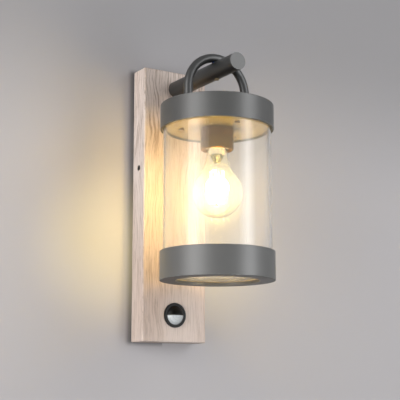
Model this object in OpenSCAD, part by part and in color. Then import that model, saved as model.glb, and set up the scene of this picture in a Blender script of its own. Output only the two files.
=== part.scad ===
// Outdoor wall lantern: wood-effect backplate housing with a motion sensor, a straight arm,
// a tubular hanging loop, a cap with an E27 lampholder and a clear cylinder in a bottom ring.
// Millimetres. X runs to the right as seen from the front, +Y into the wall, +Z up.
// The origin lies on the wall plane, at mid height of the backplate.

/* [Backplate housing] */
// Width of the housing
housing_w = 89; // [84:1:110]
// Height of the housing
housing_h = 340; // [335:1:420]
// Depth of the housing's shell, without the wall gasket
housing_d = 27.5; // [27:0.5:36]
// Thickness of the housing's front and sides
housing_wall = 2.5; // [2:0.1:3]
// Rounding of the housing's outer edges
housing_edge_r = 1.5; // [0.5:0.1:2]
// Height of the stiffening ribs behind the front
rib_h = 4; // [2:0.5:5]
// Thickness of the stiffening ribs
rib_t = 2; // [1.5:0.1:3]
// Thickness of the foam gasket between housing and wall
gasket_t = 1.5; // [1.5:0.1:3]
// Width of the foam gasket's strip
gasket_w = 1.6; // [1:0.1:2]
// Setback of the gasket from the housing's outline
gasket_inset = 0.8; // [0.5:0.1:1]

/* [Wall bracket] */
// Width of the bracket's plate
bracket_w = 60; // [52:1:70]
// Height of the bracket's plate
bracket_h = 200; // [190:1:230]
// Thickness of the bracket's sheet
bracket_t = 1.5; // [1:0.1:1.5]
// Distance between the two wall screw slots
wall_slot_pitch = 170; // [160:1:180]
// Width of a wall screw slot
wall_slot_w = 5.2; // [4:0.1:6]
// Length of a wall screw slot
wall_slot_l = 10; // [8:0.5:12]
// Height of the bracket's side ears
ear_h = 24; // [18:1:30]
// Reach of the side ears from the wall
ear_reach = 21; // [20:0.5:24]
// Gap between a side ear and the housing's side
ear_gap = 0.5; // [0.3:0.1:0.8]
// Height of the side screws above the housing's middle
side_screw_z = 43.5; // [30:0.5:55]
// Radius of the side screws' thread
side_screw_r = 2; // [1.5:0.1:2.5]
// Radius of the side screws' head
side_head_r = 3.2; // [2.8:0.1:4]
// Recess of the side screws' head in the housing
side_head_recess = 0.8; // [0.3:0.1:1.2]

/* [Mains connection] */
// Radius of the cable entry hole in the bracket
entry_r = 8; // [6:0.5:10]
// Height of the cable entry below the housing's middle
entry_drop = 5; // [0:1:15]
// Radius of the supply cable's hole in the grommet
grommet_bore_r = 4; // [3:0.5:5]
// Width of one pole of the terminal block
pole_w = 10; // [9:0.5:11]
// Number of poles of the terminal block
poles = 3; // [3:1:4]
// Height of the terminal block
block_h = 18; // [16:1:20]
// Depth of the terminal block
block_d = 15; // [13:0.5:16]
// Height of the terminal block's middle above the housing's middle
block_z = 56; // [52:1:60]

/* [Motion sensor] */
// Height of the sensor above the housing's bottom
sensor_rise = 32.6; // [30:0.2:36]
// Radius of the sensor's front bezel
bezel_r = 15; // [14.8:0.1:17]
// Thickness of the bezel's flange
bezel_t = 2; // [1.5:0.1:2.5]
// Radius of the tilting sensor eye
eye_r = 12.6; // [11.5:0.1:12.8]
// Wall of the sensor eye
eye_wall = 1.6; // [1.4:0.1:2]
// How far the eye stands out of the housing's front
eye_proud = 9; // [8:0.1:9.5]
// Thickness of the milky lens
lens_t = 0.8; // [0.6:0.1:1]
// Width of the sensor's electronics case
module_w = 50; // [46:1:54]
// Height of the electronics case
module_h = 36; // [34:1:40]
// Depth of the electronics case
module_d = 14; // [12:0.5:15]
// Height of the electronics case's middle above the sensor
module_rise = 52.4; // [50:0.2:56]
// Radius of the time and light-level dials
dial_r = 4; // [3.5:0.1:5]

/* [Arm] */
// Distance of the arm's axis below the housing's top
arm_drop = 23; // [20:0.5:30]
// Outer radius of the arm
arm_r = 10.35; // [9.5:0.05:11.5]
// Wall of the arm
arm_wall = 2; // [1.5:0.1:2.5]
// Length of the arm from the housing's front
arm_l = 140; // [125:1:170]
// Thickness of the visible end disc
arm_end_t = 2; // [1.5:0.5:4]
// Thickness of the threaded bulkhead at the arm's root
arm_root_t = 8; // [6:0.5:12]
// Radius of the hollow fixing thread
nipple_r = 5; // [4.6:0.1:5.5]
// Radius of the wire way in the hollow fixing thread
nipple_bore_r = 3.4; // [3:0.1:3.6]

/* [Hanging loop] */
// Distance from the housing's front to the lantern's axis
lantern_reach = 95.5; // [90:0.5:110]
// Radius of the loop's bend and half the distance between its legs
loop_r = 40; // [34:0.5:44]
// Radius of the loop's tube
loop_tube_r = 5.25; // [5:0.05:6.5]
// Wall of the loop's tube
loop_wall = 1.2; // [1:0.1:1.4]
// Straight length of the loop's legs above the cap
loop_leg = 19; // [12:0.5:30]
// Depth of the saddle that the loop sits in
saddle_depth = 0.9; // [0.5:0.1:1.2]

/* [Cap] */
// Outer radius of the cap and of the bottom ring
cap_r = 66.75; // [60:0.25:75]
// Height of the cap
cap_h = 29.3; // [27:0.1:36]
// Thickness of the cap's side
cap_wall = 2.7; // [2.3:0.1:3]
// Thickness of the cap's top
cap_top_t = 2; // [1.5:0.1:3]
// Rounding of the cap's and the ring's outer edges
cap_edge_r = 0.8; // [0.3:0.1:1]
// Distance of the ceiling plate above the cap's rim
ceiling_recess = 1.5; // [1:0.1:2]
// Thickness of the ceiling plate
ceiling_t = 1.5; // [1:0.1:2]
// Distance of the three ceiling screws from the lantern's axis
ceiling_screw_pcr = 42; // [36:0.5:46]
// Radius of the ceiling screws' thread
ceiling_screw_r = 1.6; // [1.25:0.05:2]

/* [Clear cylinder and bottom ring] */
// Gap between the clear tube and the cap's side
tube_gap = 0.65; // [0.4:0.05:0.8]
// Thickness of the clear tube
tube_wall = 2.5; // [2:0.1:3]
// Depth that the clear tube reaches into the cap
tube_in_cap = 20; // [16:0.5:21]
// Length of clear tube that shows between cap and ring
tube_shown = 143.3; // [120:0.1:180]
// Height of the bottom ring
ring_h = 34; // [24:0.5:45]
// Thickness of the bottom ring's lip
lip_t = 3.2; // [2:0.1:5]
// Width of the bottom ring's lip, from the ring's outside to its opening
lip_w = 18.15; // [12:0.05:26]
// Thickness of the clear bottom disc
disc_t = 3; // [2:0.1:4]
// Thickness of the gasket below the bottom disc
disc_gasket_t = 0.8; // [0.5:0.1:1.5]

/* [Lampholder] */
// Outer radius of the lampholder's sleeve
sleeve_r = 19.5; // [19:0.1:23]
// Wall of the sleeve
sleeve_wall = 1.2; // [0.8:0.1:1.3]
// Length of sleeve that shows below the cap's rim
sleeve_drop = 24.5; // [22:0.5:26]
// Rounding of the sleeve's lower edge
sleeve_edge_r = 2.4; // [1.8:0.1:2.6]

/* [Bulb] */
// Overall length of the bulb
bulb_l = 107; // [106:0.5:109]
// Length of bulb that shows below the sleeve
bulb_shown = 80; // [79:0.5:81]
// Radius of the bulb
bulb_r = 30; // [27:0.5:32]
// Radius of the bulb's neck
bulb_neck_r = 12.8; // [12:0.1:12.9]
// Radius of the hollow curve between globe and neck
bulb_flare_r = 40; // [35:1:45]
// Thickness of the bulb's glass
bulb_glass_t = 0.8; // [0.6:0.1:1]
// Radius of the E27 screw base
base_r = 13.15; // [13:0.05:13.2]
// Number of light filaments
filaments = 4; // [4:1:6]
// Length of a light filament
filament_l = 38; // [32:1:40]

/* [Hidden] */
$fn = 96;
EPS = 0.01;

// Clearances
SEAT_GAP = 0.1;       // a fixed piece in its seat
RUN_GAP = 0.05;       // a pin or spindle that turns in its hole
MOVE_GAP = 0.3;       // curved faces that pass each other
DROP_GAP = 0.5;       // the clear tube round the ceiling plate

// Housing
housing_back_y = -gasket_t;
front_y = housing_back_y - housing_d;
inner_front_y = front_y + housing_wall;
inner_half_w = housing_w / 2 - housing_wall;
inner_half_h = housing_h / 2 - housing_wall;
sensor_z = sensor_rise - housing_h / 2;
module_z = sensor_z + module_rise;
arm_z = housing_h / 2 - arm_drop;
rib_levels = [module_z - module_h / 2 - 10.4, module_z + module_h / 2 + 17,
    block_z - 46, arm_z - 42];
boss_r = 3.5;
boss_screw_r = 1.4;

// Bracket
ear_x = inner_half_w - ear_gap;
side_screw_y = housing_back_y - housing_d / 2;
side_screw_l = 9;
side_head_x = housing_w / 2 - side_head_recess;
side_hole_r = side_head_r + MOVE_GAP;
entry_z = -entry_drop;
earth_x = 22;
earth_z = 28;
earth_r = 2;
M4_HEAD_R = 3.8;
M4_HEAD_H = 2.6;

// Terminal block
block_w = poles * pole_w;
block_y = -bracket_t - block_d;
wire_hole_r = 1.4;
wire_hole_y = -bracket_t - 5;
terminal_screw_r = 1.7;
terminal_fix_r = 1.5;
lead_r = 0.9;
lead_in = 4;

// Sensor
socket_r = eye_r + MOVE_GAP;
barrel_r = socket_r + 1;
barrel_l = 12.5;
eye_y = front_y - eye_proud + eye_r;
barrel_back_y = front_y + barrel_l;
trunnion_r = 1;
trunnion_end = socket_r + 0.6;
retainer_bore_r = 9;
nut_r = barrel_r + 4;
nut_t = 4;
nut_notches = 6;
lens_margin = 0.9;
lens_drop = 0.2;      // the lens's straight edge below the eye's middle
pir_board_t = 1.2;
pir_can_r = 4.5;
pir_can_l = 4.5;
eye_back = 7.5;       // flat opening at the eye's back, behind its centre
pir_board_y = eye_y + 4;
pir_board_r = sqrt(pow(eye_r - eye_wall, 2) - pow(pir_board_y + pir_board_t - eye_y, 2)) - SEAT_GAP;

// Electronics case
module_back_y = inner_front_y + module_d;
spindle_l = 2.8;
ear_w = 7;
dial_h = 3;
dial_spindle_r = 1.8;
dial_pitch = 26;
module_ear_t = 2;
module_head_r = 2.6;
module_head_h = 1.8;

// Arm and loop
arm_end_y = front_y - arm_l;
lantern_y = front_y - lantern_reach;
arm_bore_r = arm_r - arm_wall;
nipple_inside = 9;
washer_t = 1.5;
locknut_t = 5;
crown_z = arm_z + arm_r + loop_tube_r - saddle_depth;
loop_bend_z = crown_z - loop_r;
cap_top_z = loop_bend_z - loop_leg;
loop_bore_r = loop_tube_r - loop_wall;
spigot_r = loop_bore_r;
spigot_bore_r = spigot_r - 1.3;
spigot_l = cap_top_t + 6;
loop_nut_t = 4.5;
lock_screw_r = 2;
lock_head_r = 2.8;
lock_head_h = 1.3;
wire_way_x = -5.2;
wire_way_r = 2.2;

// Cap
cap_bottom_z = cap_top_z - cap_h;
cap_bore_r = cap_r - cap_wall;
ceiling_z = cap_bottom_z + ceiling_recess;
ceiling_top_z = ceiling_z + ceiling_t;
tube_r = cap_bore_r - tube_gap;
tube_bore_r = tube_r - tube_wall;
ceiling_r = tube_bore_r - DROP_GAP;
standoff_r = 4.5;
ceiling_screw_angles = [30, 150, 270];
ceiling_screw_l = 10;
ceiling_head_r = 3;
ceiling_head_h = 1.8;
clip_t = 0.5;
clip_w = 9;
clip_rise = 12;
clip_bead_r = 1.2;
seal_h = 4;
seal_groove = 0.9;
seal_z = cap_bottom_z + 8;

// Clear cylinder and ring
tube_top_z = cap_bottom_z + tube_in_cap;
ring_top_z = cap_bottom_z - tube_shown;
ring_bottom_z = ring_top_z - ring_h;
lip_r = cap_r - lip_w;
lip_top_z = ring_bottom_z + lip_t;
disc_z = lip_top_z + disc_gasket_t;
tube_bottom_z = disc_z + disc_t;
bond_h = 8;

// Bulb
sleeve_bottom_z = cap_bottom_z - sleeve_drop;
bulb_tip_z = sleeve_bottom_z - bulb_shown;
eyelet_z = bulb_tip_z + bulb_l;
BASE_L = 26;
base_rim_z = eyelet_z - BASE_L;
eyelet_r = 4.8;
eyelet_t = 1;
insulator_h = 3.6;
base_shell_t = 0.3;
globe_z = bulb_tip_z + bulb_r;
flare_z = globe_z + sqrt(pow(bulb_r + bulb_flare_r, 2) - pow(bulb_neck_r + bulb_flare_r, 2));
neck_in_base = 4;
stem_top_z = base_rim_z;
stem_flare_l = 16;
stem_tip_l = 12;
filament_r = 0.9;
filament_ring_r = 7.5;
filament_z = globe_z - filament_l / 2 + 6;
filament_top_z = filament_z + filament_l;
stem_r = 3.4;
support_r = 0.45;

// Lampholder
shell_bore_r = base_r + MOVE_GAP;
shell_r = shell_bore_r + 0.4;
holder_skirt_r = sleeve_r - sleeve_wall - 0.6;
holder_neck_r = 15.8;
holder_bottom_z = base_rim_z + neck_in_base + MOVE_GAP;
holder_shoulder_z = ceiling_z - sleeve_wall;
holder_top_z = ceiling_top_z + 15;
shell_bottom_z = holder_bottom_z + 1.5;
shell_top_z = eyelet_z - 2;
holder_floor_z = eyelet_z + 3;
contact_t = 0.5;
contact_gap = 0.1;
holder_wire_z = (holder_floor_z + holder_top_z) / 2;
holder_wire_pitch = 8;
ring_nut_t = 4;

// ---------- helpers ----------

// Solid rod along Y between two Y values, on the X and Z axes' origin
module rod_y(r, y0, y1) {
    translate([0, y1, 0]) rotate([90, 0, 0]) cylinder(h = y1 - y0, r = r);
}

// Solid rod along X between two X values
module rod_x(r, x0, x1) {
    translate([x0, 0, 0]) rotate([0, 90, 0]) cylinder(h = x1 - x0, r = r);
}

// Solid rod along Z between two Z values
module rod_z(r, z0, z1) {
    translate([0, 0, z0]) cylinder(h = z1 - z0, r = r);
}

// Tube along Z
module tube_z(r, bore, z0, z1) {
    difference() {
        rod_z(r, z0, z1);
        rod_z(bore, z0 - EPS, z1 + EPS);
    }
}

// Rectangle with rounded corners, centred
module rounded_plate(w, h, r) {
    square([w - 2 * r, h], center = true);
    square([w, h - 2 * r], center = true);
    for (x = [-1, 1], y = [-1, 1])
        translate([x * (w / 2 - r), y * (h / 2 - r)]) circle(r = r);
}

// Upright slot cutter along Y
module slot_y(w, l, y0, y1) {
    for (s = [-1, 1]) translate([0, 0, s * (l - w) / 2]) rod_y(w / 2, y0, y1);
    translate([-w / 2, y0, -(l - w) / 2]) cube([w, y1 - y0, l - w]);
}

// Hexagonal nut along Z with a round bore
module hex_nut(across_flats, t, bore) {
    difference() {
        cylinder(h = t, r = across_flats / 2 / cos(30), $fn = 6);
        translate([0, 0, -EPS]) cylinder(h = t + 2 * EPS, r = bore);
    }
}

// Slotted screw along Z, its head's underside at 0 and its head below
module slotted_screw(head_r, head_h, r, l) {
    difference() {
        union() {
            translate([0, 0, -head_h]) cylinder(h = head_h, r = head_r);
            translate([0, 0, -EPS]) cylinder(h = l + EPS, r = r);
        }
        translate([-head_r - 1, -0.4, -head_h - EPS]) cube([2 * head_r + 2, 0.8, head_h * 0.45]);
    }
}

// Moves what follows to the lantern's axis
module at_lantern() {
    translate([0, lantern_y, 0]) children();
}

// Rounds each corner of a route with a short curve of a given reach
function lerp(a, b, t) = a + (b - a) * t;
function corner(a, b, c, reach, steps) =
    let (p = b + (a - b) / norm(a - b) * reach, q = b + (c - b) / norm(c - b) * reach)
    [for (i = [0:steps]) lerp(lerp(p, b, i / steps), lerp(b, q, i / steps), i / steps)];
function rounded_route(pts, reach, steps) = concat(
    [pts[0]],
    [for (i = [1:len(pts) - 2], q = corner(pts[i - 1], pts[i], pts[i + 1], reach, steps)) q],
    [pts[len(pts) - 1]]);

// Round cord along a route: one ring of points at each route point
SWEEP_REF = [0.62, 0.31, 0.72];
function unit(v) = v / norm(v);
function heading(p, i) = unit(p[min(i + 1, len(p) - 1)] - p[max(i - 1, 0)]);
function cord_ring(p, i, r, sides) =
    let (t = heading(p, i), u = unit(cross(t, SWEEP_REF)), v = cross(t, u))
    [for (k = [0:sides - 1]) p[i] + r * (u * cos(360 * k / sides) + v * sin(360 * k / sides))];
module cord(p, r, sides = 8) {
    n = len(p);
    points = [for (i = [0:n - 1], q = cord_ring(p, i, r, sides)) q];
    sides_faces = [for (i = [0:n - 2], k = [0:sides - 1])
        [i * sides + k, i * sides + (k + 1) % sides,
         (i + 1) * sides + (k + 1) % sides, (i + 1) * sides + k]];
    first = [[for (k = [sides - 1:-1:0]) k]];
    last = [[for (k = [0:sides - 1]) (n - 1) * sides + k]];
    polyhedron(points = points, faces = concat(sides_faces, first, last), convexity = 8);
}

// ---------- backplate housing and wall side ----------

// Box with all outer edges rounded except those at the wall
module housing_outer() {
    translate([0, front_y, 0]) intersection() {
        translate([0, housing_d, 0]) rotate([90, 0, 0])
            linear_extrude(housing_d) rounded_plate(housing_w, housing_h, housing_edge_r);
        translate([0, housing_d, -housing_h / 2])
            linear_extrude(housing_h) rounded_plate(housing_w, 2 * housing_d, housing_edge_r);
        translate([-housing_w / 2, housing_d, 0]) rotate([90, 0, 90])
            linear_extrude(housing_w) rounded_plate(2 * housing_d, housing_h, housing_edge_r);
    }
}

module module_bosses() {
    for (x = [-1, 1])
        translate([x * (module_w + ear_w) / 2, 0, module_z])
            rod_y(boss_r, inner_front_y - EPS, inner_front_y + rib_h);
}

module housing() {
    color("tan") difference() {
        union() {
            difference() {
                housing_outer();
                translate([-inner_half_w, inner_front_y, -inner_half_h])
                    cube([2 * inner_half_w, housing_d, 2 * inner_half_h]);
            }
            for (z = rib_levels)
                translate([-inner_half_w - EPS, inner_front_y - EPS, z - rib_t / 2])
                    cube([2 * (inner_half_w + EPS), rib_h, rib_t]);
            module_bosses();
        }
        translate([0, 0, arm_z]) rod_y(nipple_r + SEAT_GAP, front_y - 1, inner_front_y + 1);
        translate([0, 0, sensor_z]) rod_y(barrel_r + SEAT_GAP, front_y - 1, inner_front_y + 1);
        translate([0, side_screw_y, side_screw_z])
            rod_x(side_hole_r, -housing_w / 2 - 1, housing_w / 2 + 1);
        for (x = [-1, 1])
            translate([x * (module_w + ear_w) / 2, 0, module_z])
                rod_y(boss_screw_r, inner_front_y, inner_front_y + rib_h + 1);
    }
}

module wall_gasket() {
    outer_w = housing_w - 2 * gasket_inset;
    outer_h = housing_h - 2 * gasket_inset;
    color("black") rotate([90, 0, 0]) linear_extrude(gasket_t) difference() {
        rounded_plate(outer_w, outer_h, housing_edge_r);
        square([outer_w - 2 * gasket_w, outer_h - 2 * gasket_w], center = true);
    }
}

module wall_bracket() {
    color("silver") difference() {
        union() {
            rotate([90, 0, 0])
                linear_extrude(bracket_t) rounded_plate(bracket_w, bracket_h, 4);
            translate([-ear_x, -bracket_t, side_screw_z - ear_h / 2])
                cube([2 * ear_x, bracket_t, ear_h]);
            for (s = [0, 1]) mirror([s, 0, 0])
                translate([ear_x - bracket_t, -ear_reach, side_screw_z - ear_h / 2])
                    cube([bracket_t, ear_reach, ear_h]);
        }
        for (z = [-1, 1])
            translate([0, 0, z * wall_slot_pitch / 2])
                slot_y(wall_slot_w, wall_slot_l, -bracket_t - 1, 1);
        translate([0, 0, entry_z]) rod_y(entry_r, -bracket_t - 1, 1);
        translate([earth_x, 0, earth_z]) rod_y(earth_r + RUN_GAP, -bracket_t - 1, 1);
        for (x = [-1, 1])
            translate([x * (block_w / 2 - pole_w), 0, block_z])
                rod_y(terminal_fix_r, -bracket_t - 1, 1);
        translate([0, side_screw_y, side_screw_z])
            rod_x(side_screw_r + RUN_GAP, -ear_x - 1, ear_x + 1);
    }
}

module side_screws() {
    color("dimgray") for (s = [0, 1]) mirror([s, 0, 0])
        translate([ear_x, side_screw_y, side_screw_z]) rotate([0, -90, 0])
            slotted_screw(side_head_r, side_head_x - ear_x, side_screw_r, side_screw_l);
}

module cable_grommet() {
    flange = 2.5;
    half = bracket_t / 2;
    color("black") translate([0, -half, entry_z]) rotate([90, 0, 0]) difference() {
        union() {
            translate([0, 0, half]) cylinder(h = 2.2, r = entry_r + flange);
            translate([0, 0, -half]) cylinder(h = bracket_t + EPS, r = entry_r - SEAT_GAP);
        }
        translate([0, 0, -half - 1]) cylinder(h = bracket_t + 6, r = grommet_bore_r);
    }
}

// ---------- mains connection ----------

function pole_x(i) = (i - (poles - 1) / 2) * pole_w;

module terminal_block() {
    color("white") difference() {
        union() {
            translate([-block_w / 2, block_y, block_z - block_h / 2])
                cube([block_w, block_d, block_h]);
            for (i = [0:poles - 1])
                translate([pole_x(i), 0, block_z]) for (z = [-1, 1])
                    translate([0, 0, z * block_h / 4]) rod_y(3.4, block_y - 1.5, block_y + 1);
        }
        for (i = [0:poles - 1]) translate([pole_x(i), 0, block_z]) {
            translate([0, wire_hole_y, 0]) rod_z(2.9, -block_h / 2 + 2, block_h / 2 - 2);
            translate([0, wire_hole_y, 0]) rod_z(wire_hole_r + 0.6, -block_h, block_h);
            for (z = [-1, 1])
                translate([0, 0, z * block_h / 4]) rod_y(2.2, block_y - 3, wire_hole_y);
        }
        for (i = [1:poles - 1])
            translate([pole_x(i) - pole_w / 2 - 0.5, block_y - 1, block_z - block_h])
                cube([1, 3, 2 * block_h]);
    }
}

module terminal_inserts() {
    color("gold") for (i = [0:poles - 1]) translate([pole_x(i), 0, block_z]) difference() {
        translate([0, wire_hole_y, 0])
            rod_z(2.9 - SEAT_GAP, -block_h / 2 + 2.2, block_h / 2 - 2.2);
        translate([0, wire_hole_y, 0]) rod_z(wire_hole_r, -block_h, block_h);
        for (z = [-1, 1])
            translate([0, 0, z * block_h / 4])
                rod_y(terminal_screw_r + RUN_GAP, wire_hole_y - 4, wire_hole_y);
    }
}

module terminal_screws() {
    color("silver") for (i = [0:poles - 1], z = [-1, 1])
        translate([pole_x(i), block_y + 1.5, block_z + z * block_h / 4]) difference() {
            rod_y(terminal_screw_r, 0, wire_hole_y - lead_r - RUN_GAP - block_y - 1.5);
            translate([-3, -EPS, -0.3]) cube([6, 0.8, 0.6]);
        }
}

module earth_screw() {
    color("silver") translate([earth_x, -bracket_t, earth_z]) rotate([-90, 0, 0])
        slotted_screw(M4_HEAD_R, M4_HEAD_H, earth_r, bracket_t - SEAT_GAP);
}

// ---------- motion sensor ----------

module at_sensor() {
    translate([0, 0, sensor_z]) children();
}

// Revolved about the sensor's axis: the profile's x is the radius and its y runs to the wall
module sensor_spin() {
    at_sensor() rotate([-90, 0, 0]) rotate_extrude() children();
}

module sensor_bezel() {
    color([0.06, 0.06, 0.07]) difference() {
        sensor_spin() difference() {
            union() {
                translate([0, front_y]) square([barrel_r, barrel_l]);
                translate([0, front_y - bezel_t + 0.6]) square([bezel_r, bezel_t - 0.6]);
                translate([0, front_y - bezel_t]) square([bezel_r - 0.6, bezel_t]);
                translate([bezel_r - 0.6, front_y - bezel_t + 0.6]) circle(r = 0.6);
            }
            translate([0, eye_y]) circle(r = socket_r);
            translate([-1, eye_y]) square([socket_r + 1, barrel_l + 5]);
            translate([-1, front_y - bezel_t - 5]) square([1, barrel_l + bezel_t + 10]);
        }
        at_sensor() translate([0, eye_y, 0]) {
            rod_x(trunnion_r + RUN_GAP, -trunnion_end - 0.1, trunnion_end + 0.1);
            translate([-trunnion_end - 0.1, 0, -trunnion_r - RUN_GAP])
                cube([2 * trunnion_end + 0.2, barrel_l, 2 * (trunnion_r + RUN_GAP)]);
        }
    }
}

module sensor_nut() {
    color("dimgray") at_sensor() difference() {
        rod_y(nut_r, inner_front_y, inner_front_y + nut_t);
        rod_y(barrel_r + SEAT_GAP, inner_front_y - 1, inner_front_y + nut_t + 1);
        for (i = [0:nut_notches - 1])
            rotate([0, i * 360 / nut_notches, 0])
                translate([nut_r - 1.5, inner_front_y - 1, -1.5]) cube([3, nut_t + 2, 3]);
    }
}

module sensor_retainer() {
    seat_y = eye_y + trunnion_r + SEAT_GAP;
    color("dimgray") union() {
        sensor_spin() difference() {
            translate([retainer_bore_r, seat_y])
                square([socket_r - SEAT_GAP - retainer_bore_r, barrel_back_y - seat_y]);
            translate([0, eye_y]) circle(r = socket_r);
        }
        at_sensor() for (s = [0, 1]) mirror([s, 0, 0])
            translate([socket_r - 0.5, barrel_back_y - 3, -trunnion_r])
                cube([0.9, 3, 2 * trunnion_r]);
    }
}

// Ball whose poles lie on the tilt axis
module eye_ball(r) {
    rotate([0, 90, 0]) sphere(r = r);
}

// Ball shell with an open back, revolved about the line of sight
module eye_shell() {
    rotate([-90, 0, 0]) rotate_extrude() intersection() {
        difference() {
            circle(r = eye_r);
            circle(r = eye_r - eye_wall);
        }
        translate([0, -eye_r - 1]) square([eye_r + 1, eye_r + 1 + eye_back]);
    }
}

module sensor_eye() {
    color([0.05, 0.05, 0.06]) at_sensor() translate([0, eye_y, 0]) difference() {
        union() {
            eye_shell();
            for (s = [0, 1]) mirror([s, 0, 0])
                rod_x(trunnion_r, eye_r - eye_wall / 2, trunnion_end);
        }
        lens_window(eye_r - lens_margin, 0);
    }
}

// The space in front of and below the eye's centre that the lens fills
module lens_window(r, gap) {
    intersection() {
        rod_y(r - gap, -eye_r - 1, -2);
        translate([-eye_r - 1, -eye_r - 2, -eye_r - 1])
            cube([2 * eye_r + 2, eye_r + 2, eye_r + 1 - lens_drop - gap]);
    }
}

module sensor_lens() {
    color([0.82, 0.84, 0.85]) at_sensor() translate([0, eye_y, 0]) intersection() {
        difference() {
            eye_ball(eye_r - 0.15);
            eye_ball(eye_r - 0.15 - lens_t);
        }
        lens_window(eye_r - lens_margin, SEAT_GAP);
    }
}

module pir_board() {
    color("green") at_sensor() {
        rod_y(pir_board_r, pir_board_y, pir_board_y + pir_board_t);
        rod_y(pir_can_r, pir_board_y - pir_can_l, pir_board_y);
    }
}

module sensor_module() {
    y0 = inner_front_y + rib_h;
    color([0.15, 0.15, 0.16]) difference() {
        union() {
            translate([-module_w / 2, inner_front_y + 0.2, module_z - module_h / 2])
                cube([module_w, module_d - 0.2, module_h]);
            for (x = [-1, 1])
                translate([x * (module_w + ear_w) / 2 - ear_w / 2 - 0.5, y0, module_z - ear_w / 2])
                    cube([ear_w + 1, module_ear_t, ear_w]);
        }
        for (x = [-1, 1]) translate([x * dial_pitch / 2, 0, module_z])
            rod_y(dial_spindle_r + RUN_GAP, module_back_y - spindle_l - SEAT_GAP, module_back_y + 1);
        for (x = [-1, 1])
            translate([x * (module_w + ear_w) / 2, 0, module_z])
                rod_y(boss_screw_r + SEAT_GAP, y0 - 1, y0 + module_ear_t + 1);
        for (i = [-1:1])
            translate([i * 4, (inner_front_y + module_back_y) / 2, module_z])
                rod_z(wire_hole_r, module_h / 2 - 3, module_h / 2 + 1);
    }
}

module module_screws() {
    color("silver") for (x = [-1, 1])
        translate([x * (module_w + ear_w) / 2, inner_front_y + rib_h + module_ear_t, module_z])
            rotate([90, 0, 0]) slotted_screw(module_head_r, module_head_h,
                boss_screw_r - SEAT_GAP / 2, module_ear_t + rib_h - 0.5);
}

// Adjusting dial with an arrow slot, its spindle in the case's back wall
module dial(x) {
    translate([x, module_back_y, module_z]) difference() {
        union() {
            rod_y(dial_r, MOVE_GAP, dial_h);
            rod_y(dial_spindle_r, -spindle_l, MOVE_GAP + EPS);
        }
        translate([-0.5, dial_h - 1.2, -dial_r + 1]) cube([1, 2, 2 * dial_r - 2]);
        translate([-1.2, dial_h - 1.2, dial_r - 2.4]) cube([2.4, 2, 1.4]);
    }
}

module time_dial() { color("orange") dial(-dial_pitch / 2); }
module light_dial() { color("white") dial(dial_pitch / 2); }

// ---------- arm ----------

module at_arm() {
    translate([0, 0, arm_z]) children();
}

module arm_tube() {
    color([0.3, 0.31, 0.32]) difference() {
        at_arm() difference() {
            rod_y(arm_r, arm_end_y + arm_end_t, front_y);
            rod_y(arm_bore_r, arm_end_y - 1, front_y - arm_root_t);
            rod_y(nipple_r + RUN_GAP, front_y - arm_root_t - 1, front_y + 1);
            translate([0, lantern_y, 0]) rod_z(lock_screw_r + RUN_GAP, -arm_r - 1, arm_r + 1);
            translate([wire_way_x, lantern_y, 0]) rod_z(wire_way_r, 0, arm_r + 1);
        }
        at_lantern() translate([0, 0, loop_bend_z]) rotate([90, 0, 0])
            rotate_extrude() translate([loop_r, 0]) circle(r = loop_tube_r + RUN_GAP);
    }
}

module arm_end_disc() {
    plug_l = 6;
    color([0.42, 0.43, 0.44]) at_arm() {
        rod_y(arm_r, arm_end_y, arm_end_y + arm_end_t);
        rod_y(arm_bore_r - SEAT_GAP, arm_end_y + arm_end_t - EPS, arm_end_y + arm_end_t + plug_l);
    }
}

module arm_nipple() {
    color("silver") at_arm() difference() {
        rod_y(nipple_r, front_y - arm_root_t, inner_front_y + nipple_inside);
        rod_y(nipple_bore_r, front_y - arm_root_t - 1, inner_front_y + nipple_inside + 1);
    }
}

module arm_washer() {
    color("silver") at_arm() difference() {
        rod_y(nipple_r + 6, inner_front_y, inner_front_y + washer_t);
        rod_y(nipple_r + SEAT_GAP, inner_front_y - 1, inner_front_y + washer_t + 1);
    }
}

module arm_locknut() {
    color("silver") at_arm() translate([0, inner_front_y + washer_t + locknut_t, 0])
        rotate([90, 0, 0]) hex_nut(2 * nipple_r + 6, locknut_t, nipple_r + RUN_GAP);
}

module loop_lock_screw() {
    foot = arm_z - arm_r;
    color("silver") at_lantern() {
        translate([0, 0, foot]) slotted_screw(lock_head_r, lock_head_h, lock_screw_r,
            crown_z - loop_bore_r + 1.5 - foot);
    }
}

// ---------- hanging loop ----------

// One leg: open tube above, then a solid shoulder that narrows to a hollow threaded spigot
module loop_leg_tube() {
    shoulder_z = cap_top_z + 4;
    tube_z(loop_tube_r, loop_bore_r, shoulder_z, loop_bend_z);
    tube_z(loop_tube_r, spigot_bore_r, cap_top_z, shoulder_z);
    tube_z(spigot_r, spigot_bore_r, cap_top_z - spigot_l, cap_top_z);
}

module hanging_loop() {
    color([0.3, 0.31, 0.32]) at_lantern() {
        difference() {
            translate([0, 0, loop_bend_z]) rotate([90, 0, 0])
                rotate_extrude(angle = 180) translate([loop_r, 0]) difference() {
                    circle(r = loop_tube_r);
                    circle(r = loop_bore_r);
                }
            rod_z(lock_screw_r + RUN_GAP, loop_bend_z, crown_z);
            translate([wire_way_x, 0, 0]) rod_z(wire_way_r, loop_bend_z, crown_z - 1);
        }
        for (x = [-1, 1]) translate([x * loop_r, 0, 0]) loop_leg_tube();
    }
}

module loop_nuts() {
    color("silver") at_lantern() for (x = [-1, 1])
        translate([x * loop_r, 0, cap_top_z - cap_top_t - loop_nut_t])
            hex_nut(2 * spigot_r + 4.5, loop_nut_t, spigot_r + RUN_GAP);
}

// ---------- cap ----------

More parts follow.
